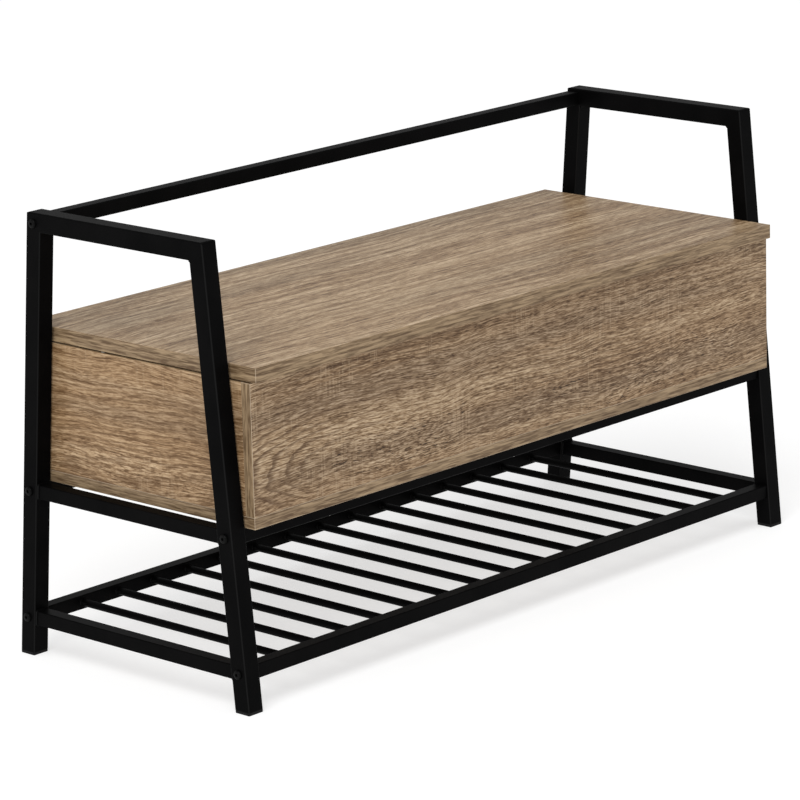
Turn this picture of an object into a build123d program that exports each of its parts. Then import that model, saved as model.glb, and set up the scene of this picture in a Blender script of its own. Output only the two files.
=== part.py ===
from build123d import *
import math
import os

# Entryway bench: two welded end frames of black square tube, joined by five bolted rails,
# a slatted shoe shelf near the floor, and a storage box of laminated board with a lift-up lid.
# The origin is on the floor in the middle of the four legs. +X is to the right of someone
# who stands in front of the bench and looks along +Y, and +Z is up. Lengths are millimetres.

# Frame
overall_length = 1067.0  # across the outer faces of the two end frames
frame_height = 590.0
frame_depth_floor = 417.0
frame_depth_top = 312.0
leg_tube = 25.0  # side of the square tube of legs and arm rails
rail_tube = 19.0  # side of the square tube of all other rails
tube_wall = 1.2
leg_corner_radius = 2.0
rail_corner_radius = 1.6
top_corner_radius = 4.0
glide_height = 4.0
glide_plug_depth = 22.0
glide_edge_radius = 1.0
shelf_rail_bottom = 41.5
seat_rail_bottom = 213.0
backrest_drop = 4.5  # how far the backrest rail's top lies below the arm rails' top

# Shelf
slat_count = 15
slat_diameter = 10.0
slat_wall = 0.8

# Box and lid
board = 15.0
lid_thickness = 19.0
lid_gap = 1.5  # between the panels' top edges and the closed lid
box_length = 1014.0
box_front = -203.5
box_back = 187.0
lid_length = 1010.0
lid_front = -212.0
lid_back = 198.5
lid_top = 437.0
board_edge_radius = 0.6

# Fasteners and hinges
fit_gap = 0.05  # radial room around a shank in its own hole
bolt_diameter = 6.0
bolt_head_diameter = 12.0
bolt_head_height = 3.3
bolt_socket_flats = 4.0
bolt_socket_depth = 2.0
bolt_hole_diameter = 6.6
bolt_point = 0.8  # chamfer at a bolt's tip
nut_depth = 18.0
nut_spare = 2.0  # how far a bolt ends short of its nut's inner face
hinge_position = 330.0  # from the middle of the bench
hinge_length = 60.0
hinge_leaf = 1.2
hinge_box_leaf_height = 36.0
hinge_lid_leaf_depth = 40.0
knuckle_radius = 5.0
knuckle_gap = 0.3
hinge_clearance = 0.5
pin_diameter = 5.0
pin_chamfer = 0.4
hinge_screw_spacing = 20.0
hinge_screw_length = 13.0
hinge_screw_diameter = 3.5
hinge_screw_head = 7.0
hinge_screw_head_height = 1.8
hinge_box_screw_rise = 12.0  # above the box leaf's lower edge
hinge_lid_screw_setback = 10.0  # behind the lid leaf's front edge
dowel_diameter = 8.0
dowel_length = 30.0
dowel_depth_in_face = 9.0
dowel_rise = 40.0  # lower dowels, above the walls' bottom edges
dowel_drop = 35.0  # upper dowels, below the walls' top edges
cam_diameter = 15.0
cam_depth = 12.5
cam_setback = 34.0
cam_rise = 70.0  # lower cam locks, above the walls' bottom edges
cam_drop = 65.0  # upper cam locks, below the walls' top edges
cam_slot_length = 8.0
cam_slot_width = 1.8
cam_slot_depth = 2.0
cam_bolt_diameter = 6.0
cam_bolt_depth_in_face = 10.0
panel_screw_diameter = 5.0
panel_screw_head = 9.0
panel_screw_length = 45.0
panel_screw_point = 1.6  # chamfer at a panel screw's tip
rail_screw_diameter = 4.0
rail_screw_head = 8.0
rail_screw_head_height = 2.6
rail_screw_length = 31.0
bumper_diameter = 9.0
bumper_front_x = 470.0  # bumpers on the front panel, from the middle of the bench
bumper_side_y = 60.0  # bumpers on the side panels, behind the middle plane

# Worked out from the sizes above
lean = math.atan((frame_depth_floor - frame_depth_top) / 2 / frame_height)
leg_width = leg_tube / math.cos(lean)
leg_x = overall_length / 2 - leg_tube / 2
rail_length = overall_length - 2 * leg_tube
shelf_level = shelf_rail_bottom + rail_tube / 2
seat_level = seat_rail_bottom + rail_tube / 2
backrest_level = frame_height - backrest_drop - rail_tube / 2
box_bottom = seat_rail_bottom + rail_tube
panel_bottom = box_bottom + board
lid_bottom = lid_top - lid_thickness
panel_top = lid_bottom - lid_gap
side_panel_x = box_length / 2 - board / 2
side_panel_front = box_front + board
side_panel_back = box_back - board
hinge_axis_y = box_back + knuckle_radius + hinge_clearance
hinge_axis_z = lid_bottom - knuckle_radius - hinge_clearance

sides = (("left", -1), ("right", 1))
ends = (("front", -1), ("rear", 1))


def leg_centre(height):
    """Distance of a leg's centre line from the middle plane at a height."""
    return frame_depth_floor / 2 - height * math.tan(lean) - leg_width / 2


def leg_inside(height):
    """Distance of a leg's inner face from the middle plane at a height."""
    return leg_centre(height) - leg_width / 2


# The rails that join the end frames, as points (y, z) of their centre lines
front_rail_centres = [(-leg_centre(seat_level), seat_level), (-leg_centre(shelf_level), shelf_level)]
rear_rail_centres = [
    (leg_centre(seat_level), seat_level),
    (leg_centre(shelf_level), shelf_level),
    (leg_centre(backrest_level), backrest_level),
]

os.makedirs("parts", exist_ok=True)


# ---------------------------------------------------------------- end frames

# Outline of a whole end frame seen from the side, with its two top corners ground round
with BuildSketch() as frame_outline:
    with BuildLine():
        Polyline(
            (-frame_depth_floor / 2 + glide_height * math.tan(lean), glide_height),
            (-frame_depth_top / 2, frame_height),
            (frame_depth_top / 2, frame_height),
            (frame_depth_floor / 2 - glide_height * math.tan(lean), glide_height),
            close=True,
        )
    make_face()
    fillet(frame_outline.vertices().group_by(Axis.Y)[-1], radius=top_corner_radius)


def mitre_plane(end):
    """Plane of the welded corner between a leg and the arm rail, facing the leg."""
    outer = Vector(0, end * frame_depth_top / 2, frame_height)
    inner = Vector(0, end * leg_inside(frame_height - leg_tube), frame_height - leg_tube)
    return Plane(origin=outer, x_dir=(1, 0, 0), z_dir=(outer - inner).cross(Vector(end, 0, 0)))


def leg_bolt_points(end):
    """Bolt holes of a leg as (y, z) points."""
    return front_rail_centres if end < 0 else rear_rail_centres


# Legs: hollow square tubes that lean inwards, cut level above their glides
for side_name, side in sides:
    for end_name, end in ends:
        leg_label = f"{side_name}_{end_name}_leg"
        leg_start = Plane(
            origin=(side * leg_x, end * leg_centre(0), 0),
            x_dir=(1, 0, 0),
            z_dir=(0, -end * math.sin(lean), math.cos(lean)),
        )
        with BuildPart() as leg:
            with BuildSketch(leg_start.offset(-leg_tube)):
                RectangleRounded(leg_tube, leg_tube, leg_corner_radius)
                RectangleRounded(
                    leg_tube - 2 * tube_wall,
                    leg_tube - 2 * tube_wall,
                    leg_corner_radius - tube_wall,
                    mode=Mode.SUBTRACT,
                )
            extrude(amount=frame_height + 3 * leg_tube)
            with BuildSketch(Plane.YZ.offset(side * leg_x - leg_tube)):
                add(frame_outline.sketch)
            extrude(amount=2 * leg_tube, mode=Mode.INTERSECT)
            split(bisect_by=mitre_plane(end), keep=Keep.TOP)
            with BuildSketch(Plane.YZ.offset(side * leg_x)):
                with Locations(*leg_bolt_points(end)):
                    Circle(bolt_hole_diameter / 2)
            extrude(amount=leg_tube, both=True, mode=Mode.SUBTRACT)
        leg.part.label = leg_label
        export_step(leg.part, f"parts/{leg_label}.step")

# Arm rails: the level top tube of each end frame, mitred to both legs
for side_name, side in sides:
    arm_label = f"{side_name}_arm_rail"
    with BuildPart() as arm_rail:
        with BuildSketch(Plane.XZ.offset(-frame_depth_floor / 2)):
            with Locations((side * leg_x, frame_height - leg_tube / 2)):
                RectangleRounded(leg_tube, leg_tube, leg_corner_radius)
                RectangleRounded(
                    leg_tube - 2 * tube_wall,
                    leg_tube - 2 * tube_wall,
                    leg_corner_radius - tube_wall,
                    mode=Mode.SUBTRACT,
                )
        extrude(amount=frame_depth_floor)
        with BuildSketch(Plane.YZ.offset(side * leg_x - leg_tube)):
            add(frame_outline.sketch)
        extrude(amount=2 * leg_tube, mode=Mode.INTERSECT)
        split(bisect_by=mitre_plane(-1), keep=Keep.BOTTOM)
        split(bisect_by=mitre_plane(1), keep=Keep.BOTTOM)
        with BuildSketch(Plane.YZ.offset(side * leg_x)):
            with Locations((leg_centre(backrest_level), backrest_level)):
                Circle(bolt_hole_diameter / 2)
        extrude(amount=leg_tube, both=True, mode=Mode.SUBTRACT)
    arm_rail.part.label = arm_label
    export_step(arm_rail.part, f"parts/{arm_label}.step")

# Side rails: lighter tubes welded between the two legs of an end frame
for side_name, side in sides:
    for level_name, bottom in (("seat", seat_rail_bottom), ("shelf", shelf_rail_bottom)):
        side_rail_label = f"{side_name}_{level_name}_side_rail"
        with BuildPart() as side_rail:
            with BuildSketch(Plane.XZ.offset(-frame_depth_floor / 2)):
                with Locations((side * leg_x, bottom + rail_tube / 2)):
                    RectangleRounded(rail_tube, rail_tube, rail_corner_radius)
                    RectangleRounded(
                        rail_tube - 2 * tube_wall,
                        rail_tube - 2 * tube_wall,
                        rail_corner_radius - tube_wall,
                        mode=Mode.SUBTRACT,
                    )
            extrude(amount=frame_depth_floor)
            with BuildSketch(Plane.YZ.offset(side * leg_x - leg_tube)):
                with BuildLine():
                    Polyline(
                        (-leg_inside(bottom), bottom),
                        (leg_inside(bottom), bottom),
                        (leg_inside(bottom + rail_tube), bottom + rail_tube),
                        (-leg_inside(bottom + rail_tube), bottom + rail_tube),
                        close=True,
                    )
                make_face()
            extrude(amount=2 * leg_tube, mode=Mode.INTERSECT)
        side_rail.part.label = side_rail_label
        export_step(side_rail.part, f"parts/{side_rail_label}.step")

# Foot glides: plastic plugs pressed into the legs, with a level sole
for side_name, side in sides:
    for end_name, end in ends:
        glide_label = f"{side_name}_{end_name}_foot_glide"
        sole_centre = end * leg_centre(glide_height / 2)
        plug_start = Plane(
            origin=(side * leg_x, end * leg_centre(0), 0),
            x_dir=(1, 0, 0),
            z_dir=(0, -end * math.sin(lean), math.cos(lean)),
        )
        plug_side = leg_tube - 2 * tube_wall - 2 * fit_gap
        with BuildPart() as foot_glide:
            with BuildSketch(plug_start):
                RectangleRounded(plug_side, plug_side, leg_corner_radius)
            extrude(amount=glide_height + glide_plug_depth)
            with BuildSketch(Plane.XY):
                with Locations((side * leg_x, sole_centre)):
                    Rectangle(2 * leg_tube, 2 * leg_tube)
            extrude(amount=frame_height, mode=Mode.INTERSECT)
            with BuildSketch(Plane.XY):
                with Locations((side * leg_x, sole_centre)):
                    RectangleRounded(leg_tube, leg_width - glide_height * math.tan(lean), leg_corner_radius)
            extrude(amount=glide_height)
            fillet(foot_glide.faces().sort_by(Axis.Z)[0].edges(), radius=glide_edge_radius)
        foot_glide.part.label = glide_label
        export_step(foot_glide.part, f"parts/{glide_label}.step")


# ---------------------------------------------------------------- rails and shelf

seat_rail_screw_x = (-350.0, 0.0, 350.0)

# Rails along the bench: square tubes bolted between the end frames
long_rails = (
    ("seat_front_rail", (-leg_centre(seat_level), seat_level)),
    ("seat_rear_rail", (leg_centre(seat_level), seat_level)),
    ("shelf_front_rail", (-leg_centre(shelf_level), shelf_level)),
    ("shelf_rear_rail", (leg_centre(shelf_level), shelf_level)),
    ("backrest_rail", (leg_centre(backrest_level), backrest_level)),
)
for rail_label, rail_centre in long_rails:
    with BuildPart() as long_rail:
        with BuildSketch(Plane.YZ.offset(-rail_length / 2)):
            with Locations(rail_centre):
                RectangleRounded(rail_tube, rail_tube, rail_corner_radius)
                RectangleRounded(
                    rail_tube - 2 * tube_wall,
                    rail_tube - 2 * tube_wall,
                    rail_corner_radius - tube_wall,
                    mode=Mode.SUBTRACT,
                )
        extrude(amount=rail_length)
        if rail_centre[1] == seat_level:
            with BuildSketch(Plane.XY.offset(seat_level)):
                with Locations(*[(x, rail_centre[0]) for x in seat_rail_screw_x]):
                    Circle(rail_screw_diameter / 2 + fit_gap)
            extrude(amount=rail_tube, both=True, mode=Mode.SUBTRACT)
    long_rail.part.label = rail_label
    export_step(long_rail.part, f"parts/{rail_label}.step")

# Shelf slats: round tubes welded between the two shelf rails at an even pitch
slat_pitch = rail_length / (slat_count + 1)
slat_reach = leg_centre(shelf_level) - rail_tube / 2
for number in range(1, slat_count + 1):
    slat_label = f"shelf_slat_{number:02d}"
    with BuildPart() as slat:
        with BuildSketch(Plane.XZ.offset(-slat_reach)):
            with Locations((number * slat_pitch - rail_length / 2, shelf_level)):
                Circle(slat_diameter / 2)
                Circle(slat_diameter / 2 - slat_wall, mode=Mode.SUBTRACT)
        extrude(amount=2 * slat_reach)
    slat.part.label = slat_label
    export_step(slat.part, f"parts/{slat_label}.step")

# Rail end nuts: threaded blocks pressed into both ends of the five long rails
nut_side = rail_tube - 2 * tube_wall - 2 * fit_gap
with BuildPart() as rail_end_nuts:
    for start in (-rail_length / 2, rail_length / 2 - nut_depth):
        with BuildSketch(Plane.YZ.offset(start)):
            with Locations(*front_rail_centres, *rear_rail_centres):
                RectangleRounded(nut_side, nut_side, rail_corner_radius - tube_wall)
                Circle(bolt_diameter / 2 + fit_gap, mode=Mode.SUBTRACT)
        extrude(amount=nut_depth)
rail_end_nuts.part.label = "rail_end_nuts"
export_step(rail_end_nuts.part, "parts/rail_end_nuts.step")

# One frame bolt: a domed head with a hexagon socket, its seat on z = 0
bolt_length = leg_tube + nut_depth - nut_spare
with BuildPart() as frame_bolt:
    Cylinder(bolt_diameter / 2, bolt_length, align=(Align.CENTER, Align.CENTER, Align.MAX))
    Cylinder(bolt_head_diameter / 2, bolt_head_height, align=(Align.CENTER, Align.CENTER, Align.MIN))
    fillet(frame_bolt.faces().sort_by(Axis.Z)[-1].edges(), radius=0.75 * bolt_head_height)
    with BuildSketch(Plane.XY.offset(bolt_head_height)):
        RegularPolygon(bolt_socket_flats / 2, 6, major_radius=False)
    extrude(amount=-bolt_socket_depth, mode=Mode.SUBTRACT)
    chamfer(frame_bolt.faces().sort_by(Axis.Z)[0].edges(), length=bolt_point)

# Frame bolts: through the legs into the rail end nuts
with BuildPart() as frame_bolts:
    for side_name, side in sides:
        for y, z in front_rail_centres + rear_rail_centres:
            bolt_seat = Plane(origin=(side * overall_length / 2, y, z), x_dir=(0, 1, 0), z_dir=(side, 0, 0))
            with Locations(bolt_seat.location):
                add(frame_bolt.part)
frame_bolts.part.label = "frame_bolts"
export_step(frame_bolts.part, "parts/frame_bolts.step")


# ---------------------------------------------------------------- storage box

panel_screw_long_x = (-440.0, -150.0, 150.0, 440.0)
panel_screw_side_y = (-110.0, 90.0)
panel_screw_points = [(x, box_front + board / 2) for x in panel_screw_long_x]
panel_screw_points += [(x, box_back - board / 2) for x in panel_screw_long_x]
panel_screw_points += [(side * side_panel_x, y) for side in (-1, 1) for y in panel_screw_side_y]
rail_screw_points = [(x, end * leg_centre(seat_level)) for x in seat_rail_screw_x for end in (-1, 1)]
rail_screw_bite = rail_screw_length - rail_tube
dowel_levels = (panel_bottom + dowel_rise, panel_top - dowel_drop)
cam_levels = (panel_bottom + cam_rise, panel_top - cam_drop)

# Bottom board: lies on the seat rails and carries the four walls
with BuildPart() as box_bottom_board:
    with BuildSketch(Plane.XY.offset(box_bottom)):
        with Locations((0, (box_front + box_back) / 2)):
            Rectangle(box_length, box_back - box_front)
    extrude(amount=board)
    fillet(box_bottom_board.edges(), radius=board_edge_radius)
    with BuildSketch(Plane.XY.offset(box_bottom)):
        with Locations(*panel_screw_points):
            Circle(panel_screw_diameter / 2 + fit_gap)
    extrude(amount=board, mode=Mode.SUBTRACT)
    with BuildSketch(Plane.XY.offset(box_bottom)):
        with Locations(*panel_screw_points):
            Circle(panel_screw_head / 2 + fit_gap)
    extrude(amount=(panel_screw_head - panel_screw_diameter) / 2, taper=45, mode=Mode.SUBTRACT)
    with BuildSketch(Plane.XY.offset(box_bottom)):
        with Locations(*rail_screw_points):
            Circle(rail_screw_diameter / 2 + fit_gap)
    extrude(amount=rail_screw_bite + fit_gap, mode=Mode.SUBTRACT)
box_bottom_board.part.label = "box_bottom_board"
export_step(box_bottom_board.part, "parts/box_bottom_board.step")

# Front and back panels: run the whole length and cover the ends of the side panels
hinge_screw_x = [
    side * hinge_position + step * hinge_screw_spacing for side in (-1, 1) for step in (-1, 0, 1)
]
hinge_box_screw_level = hinge_axis_z - hinge_box_leaf_height + hinge_box_screw_rise
for panel_label, outer_face, inward in (
    ("box_front_panel", box_front, 1),
    ("box_back_panel", box_back, -1),
):
    with BuildPart() as long_panel:
        with BuildSketch(Plane.XY.offset(panel_bottom)):
            with Locations((0, outer_face + inward * board / 2)):
                Rectangle(box_length, board)
        extrude(amount=panel_top - panel_bottom)
        fillet(long_panel.edges(), radius=board_edge_radius)
        with BuildSketch(Plane.XY.offset(panel_bottom)):
            with Locations(*[(x, outer_face + inward * board / 2) for x in panel_screw_long_x]):
                Circle(panel_screw_diameter / 2 + fit_gap)
        extrude(amount=panel_screw_length - board + fit_gap, mode=Mode.SUBTRACT)
        with BuildSketch(Plane.XZ.offset(-(outer_face + inward * board))):
            with Locations(*[(side * side_panel_x, z) for side in (-1, 1) for z in dowel_levels]):
                Circle(dowel_diameter / 2 + fit_gap)
        extrude(amount=inward * (dowel_depth_in_face + fit_gap), mode=Mode.SUBTRACT)
        with BuildSketch(Plane.XZ.offset(-(outer_face + inward * board))):
            with Locations(*[(side * side_panel_x, z) for side in (-1, 1) for z in cam_levels]):
                Circle(cam_bolt_diameter / 2 + fit_gap)
        extrude(amount=inward * (cam_bolt_depth_in_face + fit_gap), mode=Mode.SUBTRACT)
        if outer_face == box_back:
            with BuildSketch(Plane.XZ.offset(-box_back)):
                with Locations(*[(x, hinge_box_screw_level) for x in hinge_screw_x]):
                    Circle(hinge_screw_diameter / 2 + fit_gap)
            extrude(amount=hinge_screw_length - hinge_leaf + fit_gap, mode=Mode.SUBTRACT)
    long_panel.part.label = panel_label
    export_step(long_panel.part, f"parts/{panel_label}.step")

# Side panels: stand between the front and back panels
for side_name, side in sides:
    side_panel_label = f"box_{side_name}_side_panel"
    with BuildPart() as side_panel:
        with BuildSketch(Plane.XY.offset(panel_bottom)):
            with Locations((side * side_panel_x, (side_panel_front + side_panel_back) / 2)):
                Rectangle(board, side_panel_back - side_panel_front)
        extrude(amount=panel_top - panel_bottom)
        fillet(side_panel.edges(), radius=board_edge_radius)
        with BuildSketch(Plane.XY.offset(panel_bottom)):
            with Locations(*[(side * side_panel_x, y) for y in panel_screw_side_y]):
                Circle(panel_screw_diameter / 2 + fit_gap)
        extrude(amount=panel_screw_length - board + fit_gap, mode=Mode.SUBTRACT)
        for edge_y, inward in ((side_panel_front, 1), (side_panel_back, -1)):
            with BuildSketch(Plane.XZ.offset(-edge_y)):
                with Locations(*[(side * side_panel_x, z) for z in dowel_levels]):
                    Circle(dowel_diameter / 2 + fit_gap)
            dowel_depth_in_edge = dowel_length - dowel_depth_in_face
            extrude(amount=-inward * (dowel_depth_in_edge + fit_gap), mode=Mode.SUBTRACT)
            with BuildSketch(Plane.XZ.offset(-edge_y)):
                with Locations(*[(side * side_panel_x, z) for z in cam_levels]):
                    Circle(cam_bolt_diameter / 2 + fit_gap)
            extrude(amount=-inward * cam_setback, mode=Mode.SUBTRACT)
            with BuildSketch(Plane.YZ.offset(side * (side_panel_x - board / 2))):
                with Locations(*[(edge_y + inward * cam_setback, z) for z in cam_levels]):
                    Circle(cam_diameter / 2 + fit_gap)
            extrude(amount=side * (cam_depth + fit_gap), mode=Mode.SUBTRACT)
    side_panel.part.label = side_panel_label
    export_step(side_panel.part, f"parts/{side_panel_label}.step")

# Dowels: hold the side panels in line with the front and back panels
front_dowel_end = side_panel_front - dowel_depth_in_face
back_dowel_end = side_panel_back + dowel_depth_in_face - dowel_length
with BuildPart() as box_dowels:
    for dowel_end in (front_dowel_end, back_dowel_end):
        with BuildSketch(Plane.XZ.offset(-dowel_end)):
            with Locations(*[(side * side_panel_x, z) for side in (-1, 1) for z in dowel_levels]):
                Circle(dowel_diameter / 2)
        extrude(amount=-dowel_length)
box_dowels.part.label = "box_dowels"
export_step(box_dowels.part, "parts/box_dowels.step")

# Cam locks: round zinc discs let into the side panels' inner faces, with a driver slot
with BuildPart() as cam_locks:
    for side in (-1, 1):
        for cam_y in (side_panel_front + cam_setback, side_panel_back - cam_setback):
            with BuildSketch(Plane.YZ.offset(side * (side_panel_x - board / 2))):
                with Locations(*[(cam_y, z) for z in cam_levels]):
                    Circle(cam_diameter / 2)
            extrude(amount=side * cam_depth)
            with BuildSketch(Plane.YZ.offset(side * (side_panel_x - board / 2))):
                with Locations(*[(cam_y, z) for z in cam_levels]):
                    Rectangle(cam_slot_length, cam_slot_width)
                    Rectangle(cam_slot_width, cam_slot_length)
            extrude(amount=side * cam_slot_depth, mode=Mode.SUBTRACT)
cam_locks.part.label = "cam_locks"
export_step(cam_locks.part, "parts/cam_locks.step")

# Cam bolts: from the cam locks along the side panels into the front and back panels
cam_bolt_length = cam_bolt_depth_in_face + cam_setback - cam_diameter / 2 - 2 * fit_gap
with BuildPart() as cam_bolts:
    for bolt_end, inward in (
        (side_panel_front - cam_bolt_depth_in_face, 1),
        (side_panel_back + cam_bolt_depth_in_face, -1),
    ):
        with BuildSketch(Plane.XZ.offset(-bolt_end)):
            with Locations(*[(side * side_panel_x, z) for side in (-1, 1) for z in cam_levels]):
                Circle(cam_bolt_diameter / 2)
        extrude(amount=-inward * cam_bolt_length)
cam_bolts.part.label = "cam_bolts"
export_step(cam_bolts.part, "parts/cam_bolts.step")

# Panel screws: long screws up through the bottom board, heads sunk flush with its underside
with BuildPart() as panel_screw:
    Cylinder(panel_screw_diameter / 2, panel_screw_length, align=(Align.CENTER, Align.CENTER, Align.MIN))
    chamfer(panel_screw.faces().sort_by(Axis.Z)[-1].edges(), length=panel_screw_point)
    Cone(
        panel_screw_head / 2,
        panel_screw_diameter / 2,
        (panel_screw_head - panel_screw_diameter) / 2,
        align=(Align.CENTER, Align.CENTER, Align.MIN),
    )
    with BuildSketch(Plane.XY):
        RegularPolygon(bolt_socket_flats / 2, 6, major_radius=False)
    extrude(amount=bolt_socket_depth, mode=Mode.SUBTRACT)
with BuildPart() as panel_screws:
    with Locations(*[(x, y, box_bottom) for x, y in panel_screw_points]):
        add(panel_screw.part)
panel_screws.part.label = "panel_screws"
export_step(panel_screws.part, "parts/panel_screws.step")


def pan_head_screw(length, diameter, head_diameter, head_height):
    """A pan head screw along +Z, the seat of its head on z = 0."""
    with BuildPart() as screw:
        Cylinder(diameter / 2, length, align=(Align.CENTER, Align.CENTER, Align.MIN))
        chamfer(screw.faces().sort_by(Axis.Z)[-1].edges(), length=diameter / 3)
        Cylinder(head_diameter / 2, head_height, align=(Align.CENTER, Align.CENTER, Align.MAX))
        fillet(screw.faces().sort_by(Axis.Z)[0].edges(), radius=head_height / 2)
        with BuildSketch(Plane.XY.offset(-head_height)):
            Rectangle(head_diameter / 2, head_diameter / 9)
            Rectangle(head_diameter / 9, head_diameter / 2)
        extrude(amount=head_height / 2, mode=Mode.SUBTRACT)
    return screw.part


# Rail screws: up through the seat rails into the bottom board
rail_screw = pan_head_screw(rail_screw_length, rail_screw_diameter, rail_screw_head, rail_screw_head_height)
with BuildPart() as rail_screws:
    with Locations(*[(x, y, seat_rail_bottom) for x, y in rail_screw_points]):
        add(rail_screw)
rail_screws.part.label = "rail_screws"
export_step(rail_screws.part, "parts/rail_screws.step")

# Lid bumpers: soft pads on the panels' top edges that the closed lid rests on
bumper_points = [(side * bumper_front_x, box_front + board / 2) for side in (-1, 1)]
bumper_points += [(side * side_panel_x, bumper_side_y) for side in (-1, 1)]
with BuildPart() as lid_bumpers:
    with BuildSketch(Plane.XY.offset(panel_top)):
        with Locations(*bumper_points):
            Circle(bumper_diameter / 2)
    extrude(amount=lid_gap)
lid_bumpers.part.label = "lid_bumpers"
export_step(lid_bumpers.part, "parts/lid_bumpers.step")


# ---------------------------------------------------------------- lid and hinges

hinge_lid_screw_y = hinge_axis_y - hinge_lid_leaf_depth + hinge_lid_screw_setback
hinge_lid_screw_points = [(x, hinge_lid_screw_y) for x in hinge_screw_x]

# Lid: one thick board that overhangs the box in front and covers the hinges behind
with BuildPart() as lid_board:
    with BuildSketch(Plane.XY.offset(lid_bottom)):
        with Locations((0, (lid_front + lid_back) / 2)):
            Rectangle(lid_length, lid_back - lid_front)
    extrude(amount=lid_thickness)
    fillet(lid_board.edges(), radius=board_edge_radius)
    with BuildSketch(Plane.XY.offset(lid_bottom)):
        with Locations(*hinge_lid_screw_points):
            Circle(hinge_screw_diameter / 2 + fit_gap)
    extrude(amount=hinge_screw_length - hinge_leaf + fit_gap, mode=Mode.SUBTRACT)
lid_board.part.label = "lid_board"
export_step(lid_board.part, "parts/lid_board.step")

middle_knuckle = hinge_length / 2
outer_knuckle = (hinge_length - middle_knuckle) / 2 - knuckle_gap
notch = knuckle_radius + knuckle_gap

for side_name, side in sides:
    hinge_x = side * hinge_position
    screw_x = [hinge_x + step * hinge_screw_spacing for step in (-1, 0, 1)]

    # Box leaf: a plate on the back panel's rear face with the two outer knuckles
    box_leaf_label = f"{side_name}_hinge_box_leaf"
    with BuildPart() as box_leaf:
        with BuildSketch(Plane.XZ.offset(-box_back)):
            with Locations((hinge_x, hinge_axis_z)):
                Rectangle(hinge_length, hinge_box_leaf_height, align=(Align.CENTER, Align.MAX))
                Rectangle(middle_knuckle + 2 * knuckle_gap, 2 * notch, mode=Mode.SUBTRACT)
            with Locations(*[(x, hinge_box_screw_level) for x in screw_x]):
                Circle(hinge_screw_diameter / 2 + fit_gap, mode=Mode.SUBTRACT)
        extrude(amount=-hinge_leaf)
        for start in (hinge_x - hinge_length / 2, hinge_x + middle_knuckle / 2 + knuckle_gap):
            with BuildSketch(Plane.YZ.offset(start)):
                with Locations((hinge_axis_y, hinge_axis_z)):
                    Circle(knuckle_radius)
                with Locations((box_back, hinge_axis_z)):
                    Rectangle(hinge_clearance + hinge_leaf, notch, align=(Align.MIN, Align.MAX))
            extrude(amount=outer_knuckle)
        with BuildSketch(Plane.YZ.offset(hinge_x)):
            with Locations((hinge_axis_y, hinge_axis_z)):
                Circle(pin_diameter / 2 + fit_gap)
        extrude(amount=hinge_length, both=True, mode=Mode.SUBTRACT)
    box_leaf.part.label = box_leaf_label
    export_step(box_leaf.part, f"parts/{box_leaf_label}.step")

    # Lid leaf: a plate under the lid with the middle knuckle
    lid_leaf_label = f"{side_name}_hinge_lid_leaf"
    with BuildPart() as lid_leaf:
        with BuildSketch(Plane.XY.offset(lid_bottom)):
            with Locations((hinge_x, hinge_axis_y - notch)):
                Rectangle(hinge_length, hinge_lid_leaf_depth - notch, align=(Align.CENTER, Align.MAX))
            with Locations((hinge_x, hinge_axis_y)):
                Rectangle(middle_knuckle, hinge_lid_leaf_depth, align=(Align.CENTER, Align.MAX))
            with Locations(*[(x, hinge_lid_screw_y) for x in screw_x]):
                Circle(hinge_screw_diameter / 2 + fit_gap, mode=Mode.SUBTRACT)
        extrude(amount=-hinge_leaf)
        with BuildSketch(Plane.YZ.offset(hinge_x)):
            with Locations((hinge_axis_y, hinge_axis_z)):
                Circle(knuckle_radius)
        extrude(amount=middle_knuckle / 2, both=True)
        with BuildSketch(Plane.YZ.offset(hinge_x)):
            with Locations((hinge_axis_y, hinge_axis_z)):
                Circle(pin_diameter / 2 + fit_gap)
        extrude(amount=hinge_length, both=True, mode=Mode.SUBTRACT)
    lid_leaf.part.label = lid_leaf_label
    export_step(lid_leaf.part, f"parts/{lid_leaf_label}.step")

    # Pin: runs through the three knuckles
    pin_label = f"{side_name}_hinge_pin"
    with BuildPart() as hinge_pin:
        with BuildSketch(Plane.YZ.offset(hinge_x)):
            with Locations((hinge_axis_y, hinge_axis_z)):
                Circle(pin_diameter / 2)
        extrude(amount=hinge_length / 2, both=True)
        chamfer(hinge_pin.edges().filter_by(GeomType.CIRCLE), length=pin_chamfer)
    hinge_pin.part.label = pin_label
    export_step(hinge_pin.part, f"parts/{pin_label}.step")

# Hinge screws: short pan head screws through the leaves into the back panel and the lid
hinge_screw = pan_head_screw(
    hinge_screw_length,
    hinge_screw_diameter,
    hinge_screw_head,
    hinge_screw_head_height,
)
with BuildPart() as hinge_box_screws:
    for x in hinge_screw_x:
        screw_seat = Plane(
            origin=(x, box_back + hinge_leaf, hinge_box_screw_level),
            x_dir=(1, 0, 0),
            z_dir=(0, -1, 0),
        )
        with Locations(screw_seat.location):
            add(hinge_screw)
hinge_box_screws.part.label = "hinge_box_screws"
export_step(hinge_box_screws.part, "parts/hinge_box_screws.step")

with BuildPart() as hinge_lid_screws:
    with Locations(*[(x, y, lid_bottom - hinge_leaf) for x, y in hinge_lid_screw_points]):
        add(hinge_screw)
hinge_lid_screws.part.label = "hinge_lid_screws"
export_step(hinge_lid_screws.part, "parts/hinge_lid_screws.step")
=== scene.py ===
import math

import bmesh
import bpy
from mathutils import Euler, Matrix, Vector


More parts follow.
